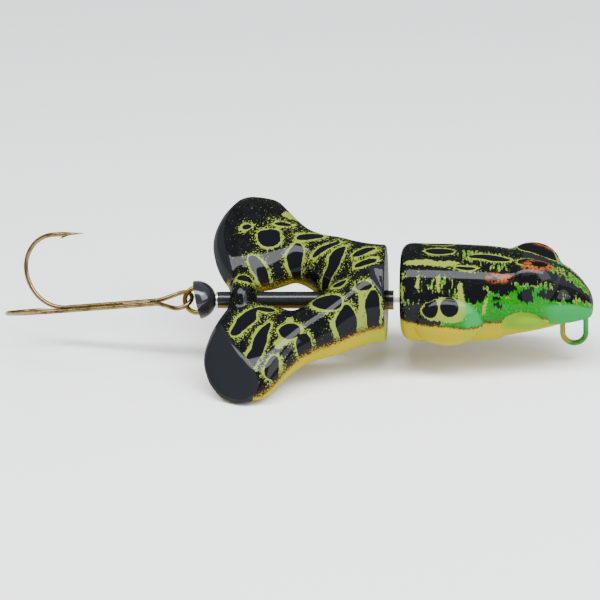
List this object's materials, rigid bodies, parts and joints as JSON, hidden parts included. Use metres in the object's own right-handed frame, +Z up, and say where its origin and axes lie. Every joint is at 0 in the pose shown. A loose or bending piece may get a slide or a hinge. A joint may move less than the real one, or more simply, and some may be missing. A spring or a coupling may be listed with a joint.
{
  "type": "topwater frog lure",
  "caption": "Hollow hard-plastic frog lure whose rear-leg section spins on a through-wire, with a line tie under the chin and a trailing double hook.",
  "frame": {"origin": "centre of the line tie's round loop under the chin, on the lure's middle plane", "axes": "+X forward toward the snout, along the through-wire; +Z up, toward the frog's back; +Y to the lure's left"},
  "size_m": [0.1181, 0.0439, 0.0272],
  "materials": {
    "painted_shell": "clear-coated frog paint over moulded plastic",
    "painted_wire": "green and yellow paint over steel wire",
    "painted_tube": "gloss black with an overspray of yellow below",
    "lead_weight": "cast grey metal",
    "steel_wire": "drawn spring wire",
    "steel_washer": "stamped",
    "black_bead": "gloss black",
    "bronzed_hook": "bronzed high-carbon wire",
    "braze_metal": "rough brazing"
  },
  "bodies": {
    "head": {"head_shell_left": "painted_shell", "head_shell_right": "painted_shell", "line_tie": "painted_wire", "head_ballast": "lead_weight", "through_wire": "steel_wire"},
    "tail": {"tail_shell_top": "painted_shell", "tail_shell_bottom": "painted_shell", "tail_sleeve": "painted_tube"},
    "washer": {"rear_washer": "steel_washer"},
    "bead": {"cup_bead": "black_bead"},
    "hook": {"hook_wire": "bronzed_hook", "hook_braze": "braze_metal"}
  },
  "joints": [
    {"name": "tail_spin", "type": "hinge", "parent": "head", "child": "tail", "pos_m": [-0.0539, 0, 0.0069], "axis": [1, 0, 0], "continuous": true},
    {"name": "washer_spin", "type": "hinge", "parent": "head", "child": "washer", "pos_m": [-0.07129, 0, 0.0069], "axis": [1, 0, 0], "continuous": true},
    {"name": "bead_spin", "type": "hinge", "parent": "head", "child": "bead", "pos_m": [-0.07535, 0, 0.0069], "axis": [1, 0, 0], "continuous": true},
    {"name": "hook_swing", "type": "hinge", "parent": "head", "child": "hook", "pos_m": [-0.07785, 0, 0.0069], "axis": [0, 0.3746, 0.9272], "range_deg": [-22, 70]}
  ]
}
